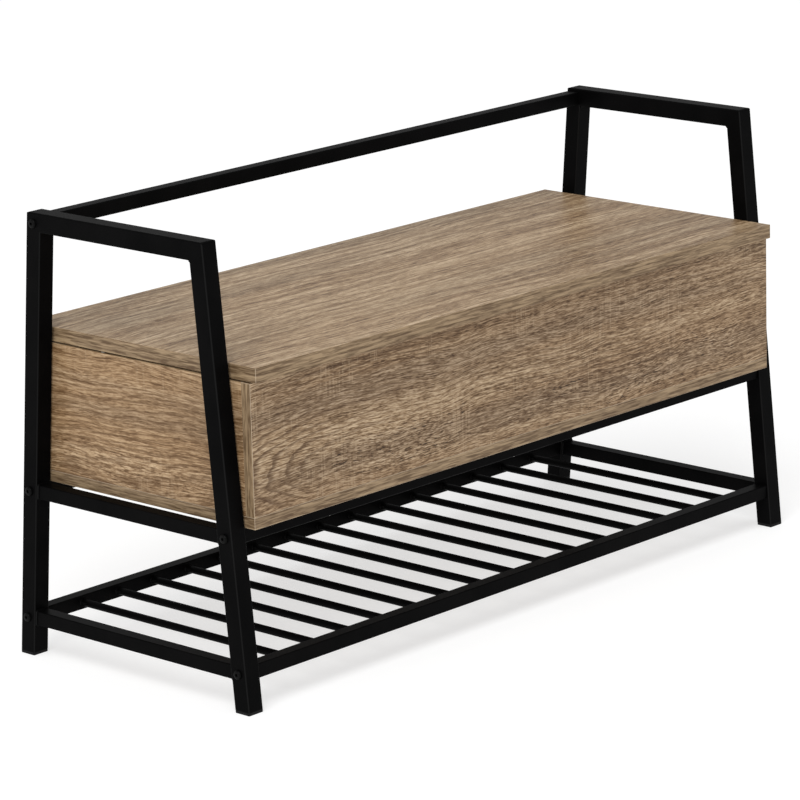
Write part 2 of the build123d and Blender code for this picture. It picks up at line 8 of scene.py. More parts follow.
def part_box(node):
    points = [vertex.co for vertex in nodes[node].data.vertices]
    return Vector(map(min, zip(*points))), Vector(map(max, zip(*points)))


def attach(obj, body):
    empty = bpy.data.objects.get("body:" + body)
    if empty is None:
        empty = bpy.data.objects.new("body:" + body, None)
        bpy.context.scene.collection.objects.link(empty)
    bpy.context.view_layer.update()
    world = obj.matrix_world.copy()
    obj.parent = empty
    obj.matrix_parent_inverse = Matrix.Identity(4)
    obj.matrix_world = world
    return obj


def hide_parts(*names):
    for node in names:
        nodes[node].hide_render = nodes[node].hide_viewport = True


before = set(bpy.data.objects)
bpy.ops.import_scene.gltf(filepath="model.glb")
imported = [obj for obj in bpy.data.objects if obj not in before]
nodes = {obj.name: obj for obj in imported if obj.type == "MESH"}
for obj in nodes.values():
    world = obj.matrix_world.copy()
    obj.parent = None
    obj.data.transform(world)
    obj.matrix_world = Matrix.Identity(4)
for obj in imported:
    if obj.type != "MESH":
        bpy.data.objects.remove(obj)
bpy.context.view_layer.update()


# ---------------------------------------------------------------- end frames
# The two end frames are upside-down U shapes of 25 mm square steel tube, mitred and welded at
# the top, with lighter side rails welded between their legs. They are sprayed with a satin
# black powder, which bakes to a faintly pebbled skin.

mm = 0.001
sides = (("left", -1), ("right", 1))
ends = (("front", -1), ("rear", 1))


def add_node(tree, kind, values=None, **settings):
    """Adds a node, sets its properties, then fills or links its inputs."""
    made = tree.nodes.new(kind)
    for name, value in settings.items():
        setattr(made, name, value)
    for key, value in (values or {}).items():
        if isinstance(value, bpy.types.NodeSocket):
            tree.links.new(value, made.inputs[key])
        else:
            made.inputs[key].default_value = value
    return made


def calc(tree, operation, *values):
    """The result of one Math node."""
    return add_node(tree, "ShaderNodeMath", dict(enumerate(values)), operation=operation).outputs[0]


def noise(tree, place, scale, detail):
    """Noise over a place, mostly from 0.3 to 0.7, with its scale in cells per unit."""
    values = {"Vector": place, "Scale": scale, "Detail": detail}
    return add_node(tree, "ShaderNodeTexNoise", values).outputs["Fac"]


def stretched(tree, place, scale):
    """A place scaled by its own amount along each axis."""
    return add_node(tree, "ShaderNodeMapping", {"Vector": place, "Scale": scale}).outputs["Vector"]


def ramp(tree, value, low, high, out_low=0.0, out_high=1.0):
    """A value eased from one range to another."""
    values = {"Value": value, "From Min": low, "From Max": high, "To Min": out_low, "To Max": out_high}
    return add_node(tree, "ShaderNodeMapRange", values, interpolation_type="SMOOTHSTEP").outputs[0]


def blended(tree, share, low, high, blend="MIX"):
    """Two colours mixed by a share."""
    made = add_node(tree, "ShaderNodeMix", {0: share, 6: low, 7: high}, data_type="RGBA", blend_type=blend)
    return made.outputs[2]


def new_group(name, inputs, outputs):
    """A shader node group with named sockets, with its input and output nodes."""
    group = bpy.data.node_groups.new(name, "ShaderNodeTree")
    for label, kind, default in inputs:
        socket = group.interface.new_socket(name=label, in_out="INPUT", socket_type=kind)
        if default is not None:
            socket.default_value = default
    for label, kind in outputs:
        group.interface.new_socket(name=label, in_out="OUTPUT", socket_type=kind)
    return group, group.nodes.new("NodeGroupInput").outputs, group.nodes.new("NodeGroupOutput").inputs


def new_material(name):
    """An empty material, its tree and its Principled shader."""
    material = bpy.data.materials.new(name)
    material.use_nodes = True
    return material, material.node_tree, material.node_tree.nodes["Principled BSDF"]


def object_place(tree):
    """Object coordinates: metres in the bench's own frame."""
    return add_node(tree, "ShaderNodeTexCoord").outputs["Object"]


def add_bump(tree, shader, height, strength, distance):
    """Links a height to the shader's normal."""
    values = {"Height": height, "Strength": strength, "Distance": distance}
    tree.links.new(add_node(tree, "ShaderNodeBump", values).outputs[0], shader.inputs["Normal"])


def finish_nodes(names, material):
    """Gives CAD nodes one material."""
    for name in names:
        nodes[name].data.materials.clear()
        nodes[name].data.materials.append(material)


# Pebbled skin that powder coat, moulded plastic and cast metal share
skin_group, skin_in, skin_out = new_group(
    "pebbled skin",
    [
        ("Place", "NodeSocketVector", None),
        ("Pebble Size", "NodeSocketFloat", 0.001),
        ("Dark", "NodeSocketColor", None),
        ("Light", "NodeSocketColor", None),
        ("Roughness", "NodeSocketFloat", 0.5),
        ("Variation", "NodeSocketFloat", 0.08),
    ],
    [("Colour", "NodeSocketColor"), ("Roughness", "NodeSocketFloat"), ("Height", "NodeSocketFloat")],
)
cloud_scale = 16.0
pebble_contrast = 0.3
pebble_scale = calc(skin_group, "DIVIDE", 1.0, skin_in["Pebble Size"])
pebbles = noise(skin_group, skin_in["Place"], pebble_scale, 3.0)
cloud = noise(skin_group, skin_in["Place"], cloud_scale, 4.0)
pebble_share = calc(skin_group, "MULTIPLY", pebbles, pebble_contrast)
skin_share = ramp(skin_group, calc(skin_group, "ADD", cloud, pebble_share), 0.45, 0.85)
skin_group.links.new(blended(skin_group, skin_share, skin_in["Dark"], skin_in["Light"]), skin_out["Colour"])
skin_shift = calc(skin_group, "MULTIPLY", calc(skin_group, "SUBTRACT", cloud, 0.5), skin_in["Variation"])
skin_group.links.new(calc(skin_group, "ADD", skin_in["Roughness"], skin_shift), skin_out["Roughness"])
skin_group.links.new(pebbles, skin_out["Height"])

# Rounded arrises, where a paler colour is painted on as a highlight because they catch more light than the
# flat faces between them: upright ones, and all.
# The longest part of a unit normal is 1 on a flat face and falls towards 0.7 on an arris.
longest_on_arris = 0.9
longest_on_face = 0.99
upright_limit = 0.3
arris_group, arris_in, arris_out = new_group(
    "arris mask",
    [("Normal", "NodeSocketVector", None)],
    [("Upright", "NodeSocketFloat"), ("All", "NodeSocketFloat")],
)
arris_split = add_node(arris_group, "ShaderNodeSeparateXYZ", {0: arris_in["Normal"]}).outputs
arris_x, arris_y, arris_z = [calc(arris_group, "ABSOLUTE", part) for part in arris_split]
sideways = calc(arris_group, "MAXIMUM", arris_x, arris_y)
any_way = calc(arris_group, "MAXIMUM", sideways, arris_z)
upright_arris = calc(
    arris_group,
    "MULTIPLY",
    ramp(arris_group, sideways, longest_on_arris, longest_on_face, 1.0, 0.0),
    calc(arris_group, "LESS_THAN", arris_z, upright_limit),
)
every_arris = ramp(arris_group, any_way, longest_on_arris, longest_on_face, 1.0, 0.0)
arris_group.links.new(upright_arris, arris_out["Upright"])
arris_group.links.new(every_arris, arris_out["All"])


def skinned_material(name, dark, light, roughness, pebble, specular, metallic=0.0, bump=0.2, arris=None):
    """A coated or moulded surface, with a painted highlight colour on the upright arrises if one is given."""
    material, tree, shader = new_material(name)
    pebble_height = 0.15 * mm
    values = {
        "Place": object_place(tree),
        "Pebble Size": pebble,
        "Dark": (*dark, 1.0),
        "Light": (*light, 1.0),
        "Roughness": roughness,
    }
    skin = add_node(tree, "ShaderNodeGroup", values, node_tree=skin_group)
    colour = skin.outputs["Colour"]
    # The arris colour is a painted highlight, laid over the skin on the upright arrises
    if arris is not None:
        normal = add_node(tree, "ShaderNodeTexCoord").outputs["Normal"]
        mask = add_node(tree, "ShaderNodeGroup", {"Normal": normal}, node_tree=arris_group)
        colour = blended(tree, mask.outputs["Upright"], colour, (*arris, 1.0))
    tree.links.new(colour, shader.inputs["Base Color"])
    tree.links.new(skin.outputs["Roughness"], shader.inputs["Roughness"])
    add_bump(tree, shader, skin.outputs["Height"], bump, pebble_height)
    shader.inputs["Specular IOR Level"].default_value = specular
    shader.inputs["Metallic"].default_value = metallic
    return material


# The arris colour is a painted highlight: the upright arrises of the tubes are painted paler than the flat
# faces
powder_black = skinned_material(
    "satin black powder coat",
    dark=(0.0014, 0.0014, 0.0015),
    light=(0.0027, 0.0026, 0.0027),
    roughness=0.45,
    pebble=1.1 * mm,
    specular=0.02,
    arris=(0.009, 0.009, 0.009),
)
end_frame_tubes = []
for side_name, side in sides:
    end_frame_tubes += [f"{side_name}_{end_name}_leg" for end_name, end in ends]
    end_frame_tubes += [f"{side_name}_{level}_rail" for level in ("arm", "seat_side", "shelf_side")]
finish_nodes(end_frame_tubes, powder_black)


# ---------------------------------------------------------------- weld beads
# Each joint of the end frames is closed with a short MIG bead before coating, and each shelf
# slat with a ring of weld at both ends. The ripples of the bead still show through the powder.


def new_geometry_tree(name, inputs):
    """A Geometry Nodes tree with a geometry in and out and named inputs."""
    tree = bpy.data.node_groups.new(name, "GeometryNodeTree")
    tree.interface.new_socket(name="Geometry", in_out="INPUT", socket_type="NodeSocketGeometry")
    for label, kind, default in inputs:
        socket = tree.interface.new_socket(name=label, in_out="INPUT", socket_type=kind)
        if default is not None:
            socket.default_value = default
    tree.interface.new_socket(name="Geometry", in_out="OUTPUT", socket_type="NodeSocketGeometry")
    return tree, tree.nodes.new("NodeGroupInput").outputs, tree.nodes.new("NodeGroupOutput").inputs


def close_tree(tree, geometry, material, output):
    """Ends a tree with Realize Instances and Set Material."""
    real = add_node(tree, "GeometryNodeRealizeInstances", {"Geometry": geometry}).outputs[0]
    values = {"Geometry": real, "Material": material}
    tree.links.new(add_node(tree, "GeometryNodeSetMaterial", values).outputs[0], output)


def grown(name, tree, start, values, body):
    """Runs a tree on a start mesh, keeps the result as a plain mesh and lets it ride on a body."""
    seed = bpy.data.objects.new(name, start)
    bpy.context.scene.collection.objects.link(seed)
    modifier = seed.modifiers.new(name, "NODES")
    modifier.node_group = tree
    for item in tree.interface.items_tree:
        if item.in_out == "INPUT" and item.name in values:
            modifier[item.identifier] = values[item.name]
    bpy.context.view_layer.update()
    evaluated = seed.evaluated_get(bpy.context.evaluated_depsgraph_get())
    plain = bpy.data.meshes.new_from_object(evaluated)
    seed.modifiers.remove(modifier)
    seed.data = plain
    plain.name = name
    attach(seed, body)
    return seed


def point_mesh(name, points, edges=()):
    """A mesh of loose points, with edges between some of them."""
    mesh = bpy.data.meshes.new(name)
    mesh.from_pydata(points, edges, [])
    return mesh


weld_tree, weld_in, weld_out = new_geometry_tree(
    "weld bead along a path",
    [
        ("Bead Radius", "NodeSocketFloat", 1.6 * mm),
        ("Ripple Pitch", "NodeSocketFloat", 1.8 * mm),
        ("Ripple Depth", "NodeSocketFloat", 0.14),
        ("Material", "NodeSocketMaterial", None),
    ],
)
bead_step = 0.6 * mm
bead_sides = 10
weld_path = add_node(weld_tree, "GeometryNodeMeshToCurve", {"Mesh": weld_in["Geometry"]}).outputs[0]
weld_path = add_node(
    weld_tree, "GeometryNodeResampleCurve", {"Curve": weld_path, "Length": bead_step}, mode="LENGTH"
).outputs[0]
along = add_node(weld_tree, "GeometryNodeSplineParameter").outputs["Length"]
turns = calc(weld_tree, "MULTIPLY", calc(weld_tree, "DIVIDE", along, weld_in["Ripple Pitch"]), 2 * math.pi)
ripple = calc(weld_tree, "MULTIPLY", calc(weld_tree, "SINE", turns), weld_in["Ripple Depth"])
swelling = calc(weld_tree, "ADD", ripple, 1.0)
weld_path = add_node(
    weld_tree, "GeometryNodeSetCurveRadius", {"Curve": weld_path, "Radius": swelling}
).outputs[0]
bead_round = add_node(
    weld_tree,
    "GeometryNodeCurvePrimitiveCircle",
    {"Resolution": bead_sides, "Radius": weld_in["Bead Radius"]},
).outputs["Curve"]
bead = add_node(
    weld_tree,
    "GeometryNodeCurveToMesh",
    {"Curve": weld_path, "Profile Curve": bead_round, "Fill Caps": True},
).outputs[0]
bead = add_node(weld_tree, "GeometryNodeSetShadeSmooth", {"Geometry": bead}).outputs[0]
close_tree(weld_tree, bead, weld_in["Material"], weld_out["Geometry"])


def closed_loop(points, edges, loop):
    """Adds a closed loop of points and its edges."""
    first = len(points)
    points += loop
    edges += [(first + i, first + (i + 1) % len(loop)) for i in range(len(loop))]


def square_loop(centre, half, corner):
    """Points round a rounded square in the XZ plane."""
    corner_steps = 4
    loop = []
    for quarter in range(4):
        for step in range(corner_steps + 1):
            angle = math.radians(90 * quarter + 90 * step / corner_steps)
            turn = math.radians(90 * quarter + 45)
            x = math.copysign(half - corner, math.cos(turn)) + corner * math.cos(angle)
            z = math.copysign(half - corner, math.sin(turn)) + corner * math.sin(angle)
            loop.append(Vector((centre[0] + x, centre[1], centre[2] + z)))
    return loop


seat_low, seat_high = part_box("left_seat_side_rail")
shelf_low, shelf_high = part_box("left_shelf_side_rail")
arm_low, arm_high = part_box("left_arm_rail")
lean = (shelf_high.y - seat_high.y) / (seat_low.z - shelf_low.z)
leg_inside_floor = shelf_high.y + shelf_low.z * lean
tube_half = (seat_high.x - seat_low.x) / 2
tube_corner = 1.6 * mm
arm_middle = -(arm_low.x + arm_high.x) / 2
bead_inset = 1.5 * mm
arm_reach = (arm_high.x - arm_low.x) / 2 - bead_inset
points, edges = [], []
for side_name, side in sides:
    for low, high in (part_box(f"{side_name}_seat_side_rail"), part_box(f"{side_name}_shelf_side_rail")):
        for end_name, end in ends:
            middle = (low + high) / 2
            loop = square_loop((middle.x, 0, middle.z), tube_half, tube_corner)
            for point in loop:
                point.y = end * (leg_inside_floor - point.z * lean)
            closed_loop(points, edges, loop)
    for end_name, end in ends:
        inner_corner = end * (leg_inside_floor - arm_low.z * lean)
        first = len(points)
        for x in (-arm_reach, arm_reach):
            points.append((side * arm_middle + x, inner_corner, arm_low.z))
        edges.append((first, first + 1))
grown(
    "end_frame_welds",
    weld_tree,
    point_mesh("end frame joints", points, edges),
    {"Bead Radius": 2.2 * mm, "Ripple Pitch": 2.4 * mm, "Material": powder_black},
    "bench_frame",
)


# ---------------------------------------------------------------- foot glides
# A black polypropylene plug with a flat sole is pressed into the end of each leg. It is
# moulded with a fine spark-eroded grain, and it keeps the steel off the floor.

glide_black = skinned_material(
    "moulded black plastic",
    dark=(0.003, 0.003, 0.0031),
    light=(0.008, 0.0078, 0.0076),
    roughness=0.62,
    pebble=0.5 * mm,
    specular=0.12,
    bump=0.35,
)
foot_glides = [f"{side_name}_{end_name}_foot_glide" for side_name, side in sides for end_name, end in ends]
finish_nodes(foot_glides, glide_black)


# ---------------------------------------------------------------- rails along the bench
# Five 19 mm square tubes join the end frames: one behind the sitter, two under the box and
# two at the shelf. They come from the same coating line, and a steel block with an M6 thread
# is pressed into each of their ends.

long_rails = ["backrest_rail", "seat_front_rail", "seat_rear_rail", "shelf_front_rail", "shelf_rear_rail"]
finish_nodes(long_rails, powder_black)
plated_steel = skinned_material(
    "zinc plated steel",
    dark=(0.42, 0.41, 0.38),
    light=(0.56, 0.55, 0.52),
    roughness=0.36,
    pebble=0.8 * mm,
    specular=0.5,
    metallic=1.0,
    bump=0.1,
)
finish_nodes(["rail_end_nuts"], plated_steel)


# ---------------------------------------------------------------- shelf slats
# Fifteen 10 mm round tubes run from the front shelf rail to the rear one, evenly spaced, and
# are welded to both. Shoes rest on them.

slat_tree, slat_in, slat_out = new_geometry_tree(
    "row of slats",
    [
        ("Count", "NodeSocketInt", 15),
        ("First Place", "NodeSocketVector", None),
        ("Pitch", "NodeSocketVector", None),
        ("Diameter", "NodeSocketFloat", 10 * mm),
        ("Length", "NodeSocketFloat", 0.36),
        ("Material", "NodeSocketMaterial", None),
    ],
)
slat_sides = 40
slat_stretches = 24
slat_line = add_node(
    slat_tree,
    "GeometryNodeMeshLine",
    {"Count": slat_in["Count"], "Start Location": slat_in["First Place"], "Offset": slat_in["Pitch"]},
).outputs[0]
slat_tube = add_node(
    slat_tree,
    "GeometryNodeMeshCylinder",
    {
        "Vertices": slat_sides,
        "Side Segments": slat_stretches,
        "Radius": calc(slat_tree, "MULTIPLY", slat_in["Diameter"], 0.5),
        "Depth": slat_in["Length"],
    },
)
slat_smooth = add_node(
    slat_tree,
    "GeometryNodeSetShadeSmooth",
    {"Geometry": slat_tube.outputs["Mesh"], "Selection": slat_tube.outputs["Side"]},
).outputs[0]
slat_row = add_node(
    slat_tree,
    "GeometryNodeInstanceOnPoints",
    {"Points": slat_line, "Instance": slat_smooth, "Rotation": (math.pi / 2, 0, 0)},
).outputs[0]
close_tree(slat_tree, slat_row, slat_in["Material"], slat_out["Geometry"])

slat_names = [name for name in sorted(nodes) if name.startswith("shelf_slat_")]
first_low, first_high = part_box(slat_names[0])
last_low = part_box(slat_names[-1])[0]
slat_pitch = (last_low.x - first_low.x) / (len(slat_names) - 1)
slat_centre = (first_low + first_high) / 2
slat_diameter = first_high.x - first_low.x
slats = grown(
    "shelf_slats",
    slat_tree,
    point_mesh("slat start", [(0, 0, 0)]),
    {
        "Count": len(slat_names),
        "First Place": slat_centre,
        "Pitch": (slat_pitch, 0, 0),
        "Diameter": slat_diameter,
        "Length": first_high.y - first_low.y,
        "Material": powder_black,
    },
    "bench_frame",
)
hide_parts(*slat_names)

ring_steps = 24
points, edges = [], []
for number in range(len(slat_names)):
    for end_name, end in ends:
        loop = []
        for step in range(ring_steps):
            angle = 2 * math.pi * step / ring_steps
            x = slat_centre.x + number * slat_pitch + slat_diameter / 2 * math.cos(angle)
            loop.append((x, end * first_high.y, slat_centre.z + slat_diameter / 2 * math.sin(angle)))
        closed_loop(points, edges, loop)
grown(
    "slat_welds",
    weld_tree,
    point_mesh("slat joints", points, edges),
    {"Bead Radius": 1.3 * mm, "Ripple Pitch": 2.0 * mm, "Material": powder_black},
    "bench_frame",
)


# ---------------------------------------------------------------- frame bolts
# Ten M6 furniture bolts with domed heads and hexagon sockets go in from outside, through the
# end frames, into the blocks in the rail ends. They are steel, oxidised and oiled black.


def hexagon(flats):
    """Radius of a hexagonal socket at an angle."""
    return lambda angle: flats / 2 / math.cos((angle + math.pi / 6) % (math.pi / 3) - math.pi / 6)


def cross(length, width):
    """Radius of a cross recess at an angle."""

    def radius(angle):
        turn = (angle + math.pi / 4) % (math.pi / 2) - math.pi / 4
        return min(length / 2 / math.cos(turn), width / 2 / max(abs(math.sin(turn)), 1e-6))

    return radius


def turned_piece(name, profile, recess=None, recess_depth=0.0, steps=48):
    """A piece turned about Z from (radius, height) points, top first, with a driver recess."""
    sharp_from = math.radians(40)
    angles = [2 * math.pi * i / steps for i in range(steps)]
    levels = [([radius] * steps, height) for radius, height in profile]
    if recess:
        top = profile[0][1]
        recess_radii = [recess(angle) for angle in angles]
        levels = [(recess_radii, top - recess_depth), (recess_radii, top)] + levels
    built = bmesh.new()
    rings = []
    for radii, height in levels:
        ring = []
        for radius, angle in zip(radii, angles):
            ring.append(built.verts.new((radius * math.cos(angle), radius * math.sin(angle), height)))
        rings.append(ring)
    for upper, lower in zip(rings, rings[1:]):
        for i in range(steps):
            j = (i + 1) % steps
            built.faces.new((upper[i], lower[i], lower[j], upper[j]))
    for ring in (rings[0], rings[-1]):
        centre = built.verts.new((0, 0, ring[0].co.z))
        for i in range(steps):
            built.faces.new((centre, ring[i], ring[(i + 1) % steps]))
    bmesh.ops.recalc_face_normals(built, faces=built.faces)
    mesh = bpy.data.meshes.new(name)
    built.to_mesh(mesh)
    built.free()
    mesh.shade_smooth()
    mesh.set_sharp_from_angle(angle=sharp_from)
    piece = bpy.data.objects.new(name, mesh)
    bpy.context.scene.collection.objects.link(piece)
    return piece


def dome(inner, outer, low, high):
    """Profile points of a dome, from outside its flat top down to its rim."""
    steps = 6
    profile = []
    for step in range(1, steps + 1):
        angle = math.radians(90 * step / steps)
        profile.append((inner + (outer - inner) * math.sin(angle), low + (high - low) * math.cos(angle)))
    return profile


def threads(radius, depth, start, end, pitch):
    """Profile points of a thread, from a start height down to an end height."""
    count = int((start - end) / pitch)
    profile = []
    for i in range(count):
        profile.append((radius - depth, start - i * pitch))
        profile.append((radius, start - (i + 0.5) * pitch))
    return profile


fastener_tree, fastener_in, fastener_out = new_geometry_tree(
    "fasteners on points",
    [
        ("Fastener", "NodeSocketObject", None),
        ("Random Turn", "NodeSocketFloat", math.pi),
        ("Seed", "NodeSocketInt", 1),
        ("Material", "NodeSocketMaterial", None),
    ],
)
fastener_shape = add_node(fastener_tree, "GeometryNodeObjectInfo", {"Object": fastener_in["Fastener"]})
facing = add_node(
    fastener_tree, "GeometryNodeInputNamedAttribute", {"Name": "facing"}, data_type="FLOAT_VECTOR"
).outputs["Attribute"]
faced = add_node(
    fastener_tree, "FunctionNodeAlignRotationToVector", {"Vector": facing}, axis="Z"
).outputs[0]
turn_angle = add_node(
    fastener_tree,
    "FunctionNodeRandomValue",
    {"Max": fastener_in["Random Turn"], "Seed": fastener_in["Seed"]},
    data_type="FLOAT",
).outputs[1]
turn_rotation = add_node(
    fastener_tree, "FunctionNodeAxisAngleToRotation", {"Axis": (0, 0, 1), "Angle": turn_angle}
).outputs[0]
faced = add_node(
    fastener_tree,
    "FunctionNodeRotateRotation",
    {"Rotation": faced, "Rotate By": turn_rotation},
    rotation_space="LOCAL",
).outputs[0]
fastener_row = add_node(
    fastener_tree,
    "GeometryNodeInstanceOnPoints",
    {"Points": fastener_in["Geometry"], "Instance": fastener_shape.outputs["Geometry"], "Rotation": faced},
).outputs[0]
close_tree(fastener_tree, fastener_row, fastener_in["Material"], fastener_out["Geometry"])


def fastened(name, piece, places, material, body, seed, replaced):
    """Puts a fastener at each (place, facing) pair, in place of a CAD node."""
    mesh = point_mesh(name, [place for place, direction in places])
    directions = mesh.attributes.new("facing", "FLOAT_VECTOR", "POINT")
    for item, (place, direction) in zip(directions.data, places):
        item.vector = direction
    values = {"Fastener": piece, "Seed": seed, "Material": material}
    made = grown(name, fastener_tree, mesh, values, body)
    bpy.data.objects.remove(piece)
    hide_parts(replaced)


oiled_black = skinned_material(
    "black oxide steel",
    dark=(0.0018, 0.0018, 0.0019),
    light=(0.0035, 0.0034, 0.0033),
    roughness=0.34,
    pebble=0.5 * mm,
    specular=0.06,
    bump=0.1,
)


def solid_boxes(name):
    """Lowest and highest corner of each separate solid of a CAD node."""
    same_point = 0.01 * mm
    merged = bmesh.new()
    merged.from_mesh(nodes[name].data)
    bmesh.ops.remove_doubles(merged, verts=merged.verts, dist=same_point)
    waiting = set(merged.verts)
    boxes = []
    while waiting:
        solid = [waiting.pop()]
        for vertex in solid:
            near = {v for edge in vertex.link_edges for v in edge.verts} & waiting
            waiting -= near
            solid += near
        low = Vector([min(vertex.co[axis] for vertex in solid) for axis in range(3)])
        high = Vector([max(vertex.co[axis] for vertex in solid) for axis in range(3)])
        boxes.append((low, high))
    merged.free()
    return sorted(boxes, key=lambda box: tuple(box[0]))


leg_face = -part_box("left_front_leg")[0].x
bolt_low, bolt_high = solid_boxes("frame_bolts")[0]
head_height = -leg_face - bolt_low.x
head_radius = (bolt_high.z - bolt_low.z) / 2
bolt_end = -leg_face - bolt_high.x
flat_top = 3.6 * mm
dome_start = 4.3 * mm
dome_top = head_height * 0.97
dome_rim = head_height * 0.3
head_chamfer = 0.25 * mm
bolt_shank = 3.0 * mm
bolt_tip = 2.2 * mm
plain_end = -24 * mm
thread_start = -25 * mm
thread_depth = 0.45 * mm
thread_pitch = 1.0 * mm
key_flats = 4.0 * mm
key_depth = 2.0 * mm
bolt_profile = [(flat_top, head_height), (dome_start, dome_top)]
bolt_profile += dome(dome_start, head_radius, dome_rim, dome_top)
bolt_profile += [(head_radius, head_chamfer), (head_radius - head_chamfer, 0)]
bolt_profile += [(bolt_shank, 0), (bolt_shank, plain_end)]
bolt_profile += threads(bolt_shank, thread_depth, thread_start, bolt_end, thread_pitch)
bolt_profile += [(bolt_tip, bolt_end)]
bolt = turned_piece("bolt", bolt_profile, hexagon(key_flats), key_depth)
bolt_places = []
for low, high in solid_boxes("frame_bolts"):
    side = math.copysign(1, low.x)
    bolt_places.append(((side * leg_face, (low.y + high.y) / 2, (low.z + high.z) / 2), (side, 0, 0)))
fastened("frame_bolt_set", bolt, bolt_places, oiled_black, "bench_frame", 3, "frame_bolts")


# ---------------------------------------------------------------- storage box
# The box is five 15 mm particle boards faced with a printed sawn-oak laminate and edged with
# a straight-grained band. The print shows growth rings cut at a slant, dark pores, fine
# fibres and pale scratches left across the grain by a coarse saw.

oak_group, oak_in, oak_out = new_group(
    "sawn oak print",
    [
        ("Place", "NodeSocketVector", None),
        ("Heart Line", "NodeSocketFloat", 0.0),
        ("Heart Middle", "NodeSocketFloat", 0.0),
        ("Heart Depth", "NodeSocketFloat", 0.02),
        ("Arch", "NodeSocketFloat", 0.3),
        ("Ring Pitch", "NodeSocketFloat", 0.0065),
        ("Rings", "NodeSocketFloat", 0.5),
        ("Streaks", "NodeSocketFloat", 0.15),
        ("Fibres", "NodeSocketFloat", 0.2),
        ("Pores", "NodeSocketFloat", 0.6),
        ("Speckle", "NodeSocketFloat", 0.6),
        ("Saw Marks", "NodeSocketFloat", 0.4),
        ("Pale", "NodeSocketColor", None),
        ("Brown", "NodeSocketColor", None),
        ("Grey", "NodeSocketColor", None),
        ("Dark", "NodeSocketColor", None),
    ],
    [("Colour", "NodeSocketColor"), ("Roughness", "NodeSocketFloat"), ("Height", "NodeSocketFloat")],
)
place = oak_in["Place"]
split = add_node(oak_group, "ShaderNodeSeparateXYZ", {0: place})


def oak(operation, *values):
    """The result of one Math node of the oak print."""
    return calc(oak_group, operation, *values)


def oak_noise(where, scale, detail=2.0):
    """Noise of the oak print, in cells per metre along, across and through the grain."""
    return noise(oak_group, stretched(oak_group, where, scale), 1.0, detail)


def sway(scale, amount):
    """A gentle shift to either side, up to about a fifth of the amount."""
    return oak("MULTIPLY", oak("SUBTRACT", oak_noise(place, scale), 0.5), amount)


# The grain runs along the board and wanders a little across it
grain_across = split.outputs["Y"]
for scale, amount in (((2.6, 4.0, 1.0), 0.05), ((11.0, 15.0, 1.0), 0.006)):
    grain_across = oak("ADD", grain_across, sway(scale, amount))
grain_place = add_node(
    oak_group,
    "ShaderNodeCombineXYZ",
    {0: split.outputs["X"], 1: grain_across, 2: split.outputs["Z"]},
).outputs[0]

# Rings: circles about a heart that dives below the board's face towards both ends
across = oak("SUBTRACT", grain_across, oak_in["Heart Line"])
for scale, amount in (((14.0, 20.0, 1.0), 0.006), ((70.0, 80.0, 1.0), 0.0024)):
    across = oak("ADD", across, sway(scale, amount))
from_middle = oak("SUBTRACT", split.outputs["X"], oak_in["Heart Middle"])
arched = oak("MULTIPLY", oak("MULTIPLY", from_middle, from_middle), oak_in["Arch"])
depth = oak("ADD", oak("ADD", oak_in["Heart Depth"], arched), sway((4.0, 1.0, 1.0), 0.02))
ring_radius = oak("SQRT", oak("ADD", oak("MULTIPLY", across, across), oak("MULTIPLY", depth, depth)))
ring_phase = oak("ADD", oak("DIVIDE", ring_radius, oak_in["Ring Pitch"]), sway((6.0, 45.0, 1.0), 2.2))
ring = oak("FRACT", ring_phase)
late_wood = oak("MULTIPLY", ramp(oak_group, ring, 0.5, 0.88), ramp(oak_group, ring, 0.9, 1.0, 1.0, 0.0))
ring_patch = ramp(oak_group, oak_noise(place, (1.6, 9.0, 1.0), 2.0), 0.4, 0.62, 0.1, 1.0)
ring_mark = oak("MULTIPLY", oak("MULTIPLY", late_wood, ring_patch), oak_in["Rings"])

# Fibres and pores run with the grain
coarse_fibre = oak_noise(grain_place, (5.0, 190.0, 1.0), 4.0)
fibre = oak_noise(grain_place, (38.0, 640.0, 1.0), 2.0)
fine_fibre = oak_noise(grain_place, (110.0, 760.0, 1.0), 1.0)
near_heart = ramp(oak_group, oak("ABSOLUTE", across), 0.014, 0.05, 1.0, 0.0)
pore_patch = ramp(oak_group, oak_noise(place, (3.5, 16.0, 1.0)), 0.4, 0.64)
pore_patch = oak("MAXIMUM", oak("MULTIPLY", pore_patch, 0.8), oak("MULTIPLY", near_heart, 0.9))
pore_mark = ramp(oak_group, oak_noise(grain_place, (55.0, 600.0, 1.0), 1.0), 0.57, 0.63)
pore_mark = oak("MULTIPLY", oak("MULTIPLY", pore_mark, pore_patch), oak_in["Pores"])
speckle_patch = oak("MULTIPLY", near_heart, ramp(oak_group, oak_noise(place, (5.0, 9.0, 1.0)), 0.4, 0.6))
speckle = ramp(oak_group, oak_noise(grain_place, (130.0, 620.0, 1.0), 1.0), 0.42, 0.58, -0.34, 0.34)
speckle = oak("MULTIPLY", oak("MULTIPLY", speckle, speckle_patch), oak_in["Speckle"])

# Saw marks: short pale lines across the grain, in loose groups
saw = oak_noise(place, (330.0, 15.0, 1.0), 0.0)
saw_patch = ramp(oak_group, oak_noise(place, (12.0, 12.0, 1.0), 0.0), 0.54, 0.62)
saw_mark = oak("MULTIPLY", ramp(oak_group, saw, 0.58, 0.66), saw_patch)
saw_mark = oak("MULTIPLY", saw_mark, ramp(oak_group, fibre, 0.4, 0.55))
saw_mark = oak("MULTIPLY", saw_mark, oak_in["Saw Marks"])

